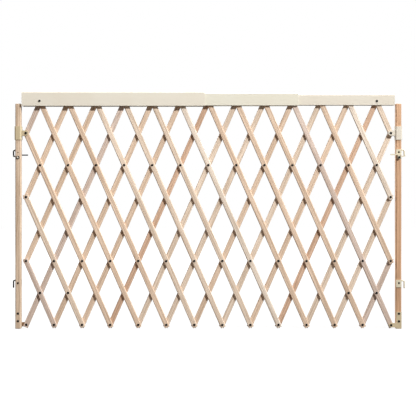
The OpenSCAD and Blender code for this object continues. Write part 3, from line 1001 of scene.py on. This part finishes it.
class GATE_OT_collars(bpy.types.Operator):
    """Model the collars that slide on the posts"""

    bl_idname = "gate.collars"
    bl_label = "Sliding collars"

    def execute(self, context):
        colours = context.scene.gate_colours
        # The left collar's darker colour is painted shade of the same plastic
        coats = {
            "left": make_once("Left collar plastic", plastic, colours.left_collar, 0.6),
            "right": make_once("Right collar plastic", plastic, colours.right_collar, 0.6),
        }
        sizes = context.scene.gate_sizes
        dress_both("collar", "slider", lambda name: self.collar(name, sizes), coats)
        return {"FINISHED"}

    def collar(self, name, sizes):
        """A rounded sleeve round the post, with two cheeks that hold the slats' rivet."""
        pin = crossing(COLUMNS, ROWS - 1)
        lift = Vector((0, 0, sizes.collar_height / 2))
        bore = Vector((POST_HALF + sizes.collar_gap, POST_FACE + sizes.collar_gap, 0))
        bore_round = sizes.post_round + sizes.collar_gap
        outside = bore + Vector((sizes.collar_wall, sizes.collar_wall, 0))
        middle = Vector((POST_MID, 0, pin.z))
        sleeve = add_box(name, middle - outside - lift, middle + outside + lift)
        round_edges(sleeve, bore_round + sizes.collar_wall, 6, along_grain)
        inner, outer = collar_depths(sizes)
        eye = sizes.eye_radius
        arm_end = POST_MID - bore.x - sizes.collar_wall / 2
        for low, high in ((-outer, -inner), (inner, outer)):
            arm = add_box("arm", (pin.x, low, pin.z - eye), (arm_end, high, pin.z + eye))
            unite(arm, add_rod("eye", eye, pin, low, high, 40))
            unite(sleeve, arm)
        hollow = add_box("hollow", middle - bore - 2 * lift, middle + bore + 2 * lift)
        round_edges(hollow, bore_round, 6, along_grain)
        cut(sleeve, hollow, drill(sizes, pin, -2 * outer, 2 * outer))
        soften(sleeve, 0.5 * MM, 3)
        return sleeve


class GATE_OT_feet(bpy.types.Operator):
    """Model the foot brackets and their rivets"""

    bl_idname = "gate.feet"
    bl_label = "Foot brackets"

    def execute(self, context):
        sizes = context.scene.gate_sizes
        bare = display(226, 214, 180)
        coats = {}
        # Each side gets its own colour; the left one's darker brown is painted shade of the same
        # plating
        for side in ("left", "right"):
            name = side.capitalize() + " foot plating"
            tone = getattr(context.scene.gate_colours, side + "_foot")
            coats[side] = make_once(name, plated, tone, bare, 0.25, 0.35, 0.5)
        dress_both("foot_plate", "foot_bracket", lambda name: self.bracket(name, sizes), coats)
        dress_both("foot_rivet_set", "foot_rivets", lambda name: self.rivets(name, context))
        return {"FINISHED"}

    def rivet_places(self, sizes):
        """The places of the two rivets that hold a bracket on its post."""
        lower = Vector((POST_MID, 0, sizes.foot_rivet))
        return lower, lower + Vector((0, 0, sizes.foot_pitch))

    def bracket(self, name, sizes):
        """A plate on the post whose arm reaches under to the lowest slat's rivet."""
        low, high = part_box("right_foot_bracket")
        pin = crossing(COLUMNS, 0)
        eye = sizes.foot_eye
        front, back = low.y, -POST_FACE
        plate = add_box(name, (POST_LOW.x + 1 * MM, front, low.z), (high.x, back, high.z))
        arm = add_box("arm", (pin.x, front, pin.z - eye), (POST_MID, back, pin.z + eye))
        unite(arm, add_rod("eye", eye, pin, front, back, 40))
        boss = add_rod("boss", sizes.rivet_radius + 1 * MM, pin, front + 1 * MM, high.y)
        unite(plate, arm, boss)
        places = (pin, *self.rivet_places(sizes))
        cut(plate, *[drill(sizes, place, 2 * front, 0) for place in places])
        soften(plate, 0.5 * MM)
        return plate

    def rivets(self, name, context):
        """Two long rivets through the post and one short one for the slat."""
        sizes = context.scene.gate_sizes
        front_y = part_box("right_foot_bracket")[0].y - sizes.head_gap
        parts = [
            put(rivet("long_rivet", context, front_y, POST_FACE + sizes.head_gap), place)
            for place in self.rivet_places(sizes)
        ]
        short = rivet("short_rivet", context, front_y, sizes.head_gap - SLAT_IN)
        return join(name, [*parts, put(short, crossing(COLUMNS, 0))])


def hook(name, sizes, level):
    """A hook bent from one round wire: tail, shank, bend and pin."""
    low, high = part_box(f"right_{level}_hook")
    radius, bend = sizes.wire_radius, sizes.hook_bend
    tail = Vector((low.x + radius, low.y + radius, shank_height(sizes, level)))
    pin_x = high.x - radius
    tip = 1 * MM
    bpy.ops.mesh.primitive_circle_add(
        vertices=20, radius=radius, fill_type="NGON", location=tail, rotation=(0, math.pi / 2, 0)
    )
    shank = settle(name)
    bpy.ops.object.mode_set(mode="EDIT")
    bpy.ops.mesh.select_all(action="SELECT")
    extrude(x=pin_x - bend - tail.x)
    bpy.ops.mesh.spin(
        steps=10, angle=math.pi / 2, center=(pin_x - bend, tail.y, tail.z - bend), axis=(0, -1, 0)
    )
    extrude(z=low.z + tip - (tail.z - bend))
    extrude(z=-tip)
    share = 1 - tip / radius
    bpy.ops.transform.resize(value=(share, share, 1), center_override=(pin_x, tail.y, low.z))
    bpy.ops.mesh.select_all(action="SELECT")
    bpy.ops.mesh.remove_doubles(threshold=0.01 * MM)
    finish_mesh()
    return unite(shank, add_rod("tail", radius, tail, tail.y - radius, high.y, 20))


def clamp(name, sizes, level):
    """A plate over a hook's shank, countersunk for its screw."""
    low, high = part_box(f"right_{level}_clamp")
    hole_radius = sizes.screw_radius + PLAY
    countersink = [
        (sizes.screw_head + 0.3 * MM, low.y - 0.25 * MM),
        (hole_radius, low.y + sizes.screw_head - sizes.screw_radius),
        (hole_radius, high.y + 1 * MM),
    ]
    place = (POST_MID, 0, shank_height(sizes, level) - sizes.screw_below)
    plate = cut(add_box(name, low, high), put(turned("sink", countersink), place))
    soften(plate, 0.4 * MM)
    return plate


def slotted(piece, face_y, half_length, place):
    """Cuts a screwdriver slot in a head's face."""
    half_width = 0.55 * MM
    return cut(piece, add_box(
        "slot",
        (place.x - half_length, face_y - 2 * MM, place.z - half_width),
        (place.x + half_length, face_y + 0.8 * MM, place.z + half_width),
    ))


class GATE_OT_hooks(bpy.types.Operator):
    """Model the wire hooks, their clamp plates and the screws"""

    bl_idname = "gate.hooks"
    bl_label = "Hooks and clamps"

    def execute(self, context):
        sizes = context.scene.gate_sizes
        coats = hardware_materials(context)
        for level in ("upper", "lower"):
            for kind, suffix, build in (("hook", "wire", hook), ("clamp", "plate", clamp)):
                node = f"{level}_{kind}"
                dress_both(
                    f"{node}_{suffix}", node, lambda name: build(name, sizes, level), coats
                )
        steel = rivet_materials(context)[0]
        coats = {"left": steel, "right": steel}
        dress_both("clamp_screws", "post_screws", lambda name: self.screws(name, sizes), coats)
        return {"FINISHED"}

    def screws(self, name, sizes):
        """The two countersunk screws, and the lower one's nut."""
        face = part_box("right_upper_clamp")[0].y
        nut_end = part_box("right_post_screws")[1].y
        head, shank = sizes.screw_head, sizes.screw_radius
        upper_end = 2.5 * MM
        tip = 0.3 * MM
        parts = []
        for level, end in (("upper", upper_end), ("lower", nut_end)):
            place = Vector((POST_MID, 0, shank_height(sizes, level) - sizes.screw_below))
            profile = [
                (head * 0.9, face),
                (head, face + 0.1 * MM),
                (shank, face + head - shank),
                (shank, end - tip),
                (shank - tip, end),
            ]
            screw = put(turned("screw", profile, 24), place)
            parts.append(slotted(screw, face, head * 1.2, place))
        nut = add_rod("nut", head, place, POST_FACE, nut_end, 6)
        cut(nut, add_rod("bore", shank + PLAY, place, 0, 2 * nut_end, 20))
        soften(nut, 0.2 * MM, 1)
        return join(name, [*parts, nut])


class GATE_OT_keepers(bpy.types.Operator):
    """Model the keepers that lock the upper hooks, and their bolts"""

    bl_idname = "gate.keepers"
    bl_label = "Keepers"

    def execute(self, context):
        sizes = context.scene.gate_sizes
        coats = hardware_materials(context)
        dress_both("keeper_lever", "keeper", lambda name: self.lever(name, sizes), coats)
        tone = context.scene.gate_colours.nut_highlight_plating
        painted_nut_highlight = make_once("Nut steel", plated, tone, display(150, 148, 142), 0.4, 0.4, 0.5)
        steels = (rivet_materials(context)[0], painted_nut_highlight)
        dress_both("keeper_bolt_set", "keeper_bolt", lambda name: self.bolt(name, sizes, steels))
        return {"FINISHED"}

    def lever(self, name, sizes):
        """A flat lever with a hub, a thumb bar, an arm and the peg under the hook's pin."""
        low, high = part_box("right_keeper")
        hook_low, hook_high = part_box("right_upper_hook")
        pivot, width, radius = KEEPER_PIVOT, sizes.keeper_arm, sizes.peg_radius
        half = width / 2
        front, back = low.y, low.y + sizes.keeper_thickness
        thumb_z = pivot.z + sizes.thumb_rise
        thumb_top = thumb_z + half
        pin_x = hook_high.x - sizes.wire_radius
        peg_place = Vector((pin_x, 0, hook_low.z - sizes.peg_gap - radius))
        thumb = add_box("thumb", (low.x, front, thumb_z - half), (pivot.x, back, thumb_top))
        riser = add_box(
            "riser", (pivot.x - width, front, pivot.z), (pivot.x + width, back, thumb_top)
        )
        reach = peg_place - pivot
        arm = add_box("arm", (0, front, -half), (math.hypot(reach.x, reach.z), back, half))
        turn = Matrix.Rotation(-math.atan2(reach.z, reach.x), 4, "Y")
        moved(arm, Matrix.Translation((pivot.x, 0, pivot.z)) @ turn)
        knuckle = add_rod("knuckle", high.x - pin_x, peg_place, front, back)
        lever = add_rod(name, sizes.keeper_hub, pivot, front, back, 36)
        unite(lever, thumb, riser, arm, knuckle)
        cut(lever, drill(sizes, pivot, 2 * front, 0))
        soften(lever, 0.4 * MM)
        profile = [
            (radius, front + 1 * MM), (radius, high.y - 0.6 * MM), (radius * 0.7, high.y),
        ]
        return join(name, [lever, put(turned("peg", profile), peg_place)])

    def bolt(self, name, sizes, steels):
        """A slotted bolt with the spacer behind the keeper, a washer and a cap nut."""
        low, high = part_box("right_keeper_bolt")
        keeper_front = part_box("right_keeper")[0].y
        keeper_back = keeper_front + sizes.keeper_thickness
        pivot, head, shank = KEEPER_PIVOT, sizes.bolt_head, sizes.shank_radius
        head_back = keeper_front - sizes.head_gap
        washer_back = POST_FACE + 1.5 * MM
        thread_end = washer_back + 1.5 * MM
        bolt_profile = [
            (head * 0.8, low.y),
            (head, low.y + 0.7 * MM),
            (head, head_back),
            (shank, head_back),
            (shank, thread_end),
        ]
        bolt = slotted(put(turned("bolt", bolt_profile), pivot), low.y, head * 1.2, pivot)
        spacer = add_rod("spacer", head, pivot, keeper_back + sizes.head_gap, -POST_FACE, 28)
        washer = add_rod("washer", high.x - pivot.x, pivot, POST_FACE, washer_back, 36)
        for ring in (washer, spacer):
            cut(ring, drill(sizes, pivot, -2 * POST_FACE, 2 * POST_FACE))
        soften(washer, 0.3 * MM, 1)
        nut_radius = sizes.nut_radius
        nut_profile = [
            (nut_radius, washer_back),
            (nut_radius, high.y - 1.2 * MM),
            (0.8 * nut_radius, high.y - 0.5 * MM),
            (0.4 * nut_radius, high.y),
        ]
        nut = put(turned("nut", nut_profile, 6), pivot)
        cut(nut, drill(sizes, pivot, 0, thread_end + PLAY))
        parts = [coat(part, *steels) for part in (bolt, spacer, washer, nut)]
        # Only the flat end of the cap gets the bright plating: a painted highlight on the nut
        paint_faces(nut, lambda centre, normal: normal.y > 0.9)
        return join(name, parts)


# ---------------------------------------------------------------- stage


def seen_by_eye(wiring):
    """1 for what the camera, mirrors and glass see, and 0 for light that falls on things."""
    path = wiring.add("LightPath").outputs
    seen = wiring.math("MAXIMUM", path["Is Camera Ray"], path["Is Glossy Ray"])
    return wiring.math("MAXIMUM", seen, path["Is Transmission Ray"])


def soft_lamp(name, place, target, size, watts, tone=(1, 1, 1)):
    """A square soft lamp that looks at its target."""
    lamp = bpy.data.lights.new(name, "AREA")
    lamp.shape = "SQUARE"
    lamp.size = size
    lamp.energy = watts
    lamp.color = tone
    held = bpy.data.objects.new(name, lamp)
    held.location = place
    held.rotation_euler = (Vector(target) - Vector(place)).to_track_quat("-Z", "Y").to_euler()
    bpy.context.collection.objects.link(held)


class GATE_OT_stage(bpy.types.Operator):
    """Make the floor, the lamps, the background and the camera"""

    bl_idname = "gate.stage"
    bl_label = "Stage"

    distance: bpy.props.FloatProperty(
        name="Camera distance", description="From the gate to the camera",
        default=3.2, min=1, unit="LENGTH",
    )
    field: bpy.props.FloatProperty(
        name="Field width", description="Width that the camera sees at the gate",
        default=1.427, min=1, unit="LENGTH",
    )
    eye_height: bpy.props.FloatProperty(
        name="Eye height", description="Height of the camera", default=0.413, min=0, unit="LENGTH",
    )
    aside: bpy.props.FloatProperty(
        name="Aside", description="How far the camera stands to the right", default=-0.0012,
        unit="LENGTH",
    )

    def execute(self, context):
        self.floor(context)
        self.background(context)
        warm = context.scene.gate_colours.bounced_light
        # Each lamp's place, the point it looks at, its width in metres and its watts
        soft_lamp("key_lamp", (4.15, -3.6, 4.0), (-9.5, -4.2, 7.3), 0.35, 1290)
        soft_lamp("top_lamp", (0.5, -0.2, 3.0), (0.3, 0, 0.8), 1.0, 100)
        soft_lamp("fill_lamp", (-3.0, -4.5, 1.2), (0, 0, 0.4), 2.0, 12, warm)
        soft_lamp("back_lamp", (-3.0, 4.2, 3.4), (0, 0, 0.4), 1.5, 400)
        camera_data = bpy.data.cameras.new("camera")
        camera_data.lens = camera_data.sensor_width * self.distance / self.field
        camera = bpy.data.objects.new("camera", camera_data)
        camera.location = (self.aside, -self.distance, self.eye_height)
        camera.rotation_euler = (math.pi / 2, 0, 0)
        context.collection.objects.link(camera)
        context.scene.camera = camera
        context.scene.view_settings.view_transform = "Standard"
        return {"FINISHED"}

    def floor(self, context):
        """A wide pale floor that keeps the gate's shadow."""
        bpy.ops.mesh.primitive_plane_add(size=30, location=(0, 0, -0.5 * MM))
        floor = settle("floor")
        material, wiring, shader = new_material("Pale floor")
        place = wiring.add("TexCoord").outputs["Object"]
        tone = context.scene.gate_colours.floor
        paler = opaque([1.1 * share for share in tone])
        reach = wiring.add("VectorMath", {0: place}, operation="LENGTH").outputs["Value"]
        lift = wiring.between(reach, 1.2, 4.0, 0.8, 1.0)
        wiring.feed(shader, {
            "Base Color": wiring.mix(wiring.noise(place, 1.5, 2), opaque(tone), paler),
            "Roughness": 0.9,
            "Specular IOR Level": 0.1,
            "Emission Strength": wiring.times(seen_by_eye(wiring), lift),
            "Emission Color": (1, 1, 1, 1),
        })
        coat(floor, material)

    def background(self, context):
        """A white background, whose light on the gate is faint and warm."""
        world = bpy.data.worlds.new("White studio")
        world.use_nodes = True
        context.scene.world = world
        wiring = Wiring(world.node_tree)
        background = next(n for n in world.node_tree.nodes if n.type == "BACKGROUND")
        seen = seen_by_eye(wiring)
        warm = opaque(context.scene.gate_colours.bounced_light)
        wiring.feed(background.inputs, {
            "Color": wiring.mix(seen, warm, (1, 1, 1, 1)),
            "Strength": wiring.between(seen, 0, 1, 0.06, 1.0),
        })


OPERATORS = (
    GATE_OT_slats, GATE_OT_rivets, GATE_OT_posts, GATE_OT_rails, GATE_OT_collars,
    GATE_OT_feet, GATE_OT_hooks, GATE_OT_keepers, GATE_OT_stage,
)


class GATE_PT_pieces(bpy.types.Panel):
    """Lists the gate's pieces, sizes and colours"""

    bl_idname = "GATE_PT_pieces"
    bl_label = "Lattice Gate"
    bl_space_type = "VIEW_3D"
    bl_region_type = "UI"
    bl_category = "Gate"

    def draw(self, context):
        for operator in OPERATORS:
            self.layout.operator(operator.bl_idname)
        for group in (context.scene.gate_sizes, context.scene.gate_colours):
            column = self.layout.column()
            for name in group.bl_rna.properties.keys():
                if name not in ("rna_type", "name"):
                    column.prop(group, name)


CLASSES = (GateSizes, GateColours, *OPERATORS, GATE_PT_pieces)


def register():
    for each in CLASSES:
        bpy.utils.register_class(each)
    bpy.types.Scene.gate_sizes = bpy.props.PointerProperty(type=GateSizes)
    bpy.types.Scene.gate_colours = bpy.props.PointerProperty(type=GateColours)


def unregister():
    del bpy.types.Scene.gate_colours
    del bpy.types.Scene.gate_sizes
    for each in reversed(CLASSES):
        bpy.utils.unregister_class(each)


def main():
    """Makes every piece."""
    register()
    bpy.ops.gate.slats()
    bpy.ops.gate.rivets()
    bpy.ops.gate.posts()
    bpy.ops.gate.rails()
    bpy.ops.gate.collars()
    bpy.ops.gate.feet()
    bpy.ops.gate.hooks()
    bpy.ops.gate.keepers()
    bpy.ops.gate.stage()


if __name__ == "__main__":
    main()
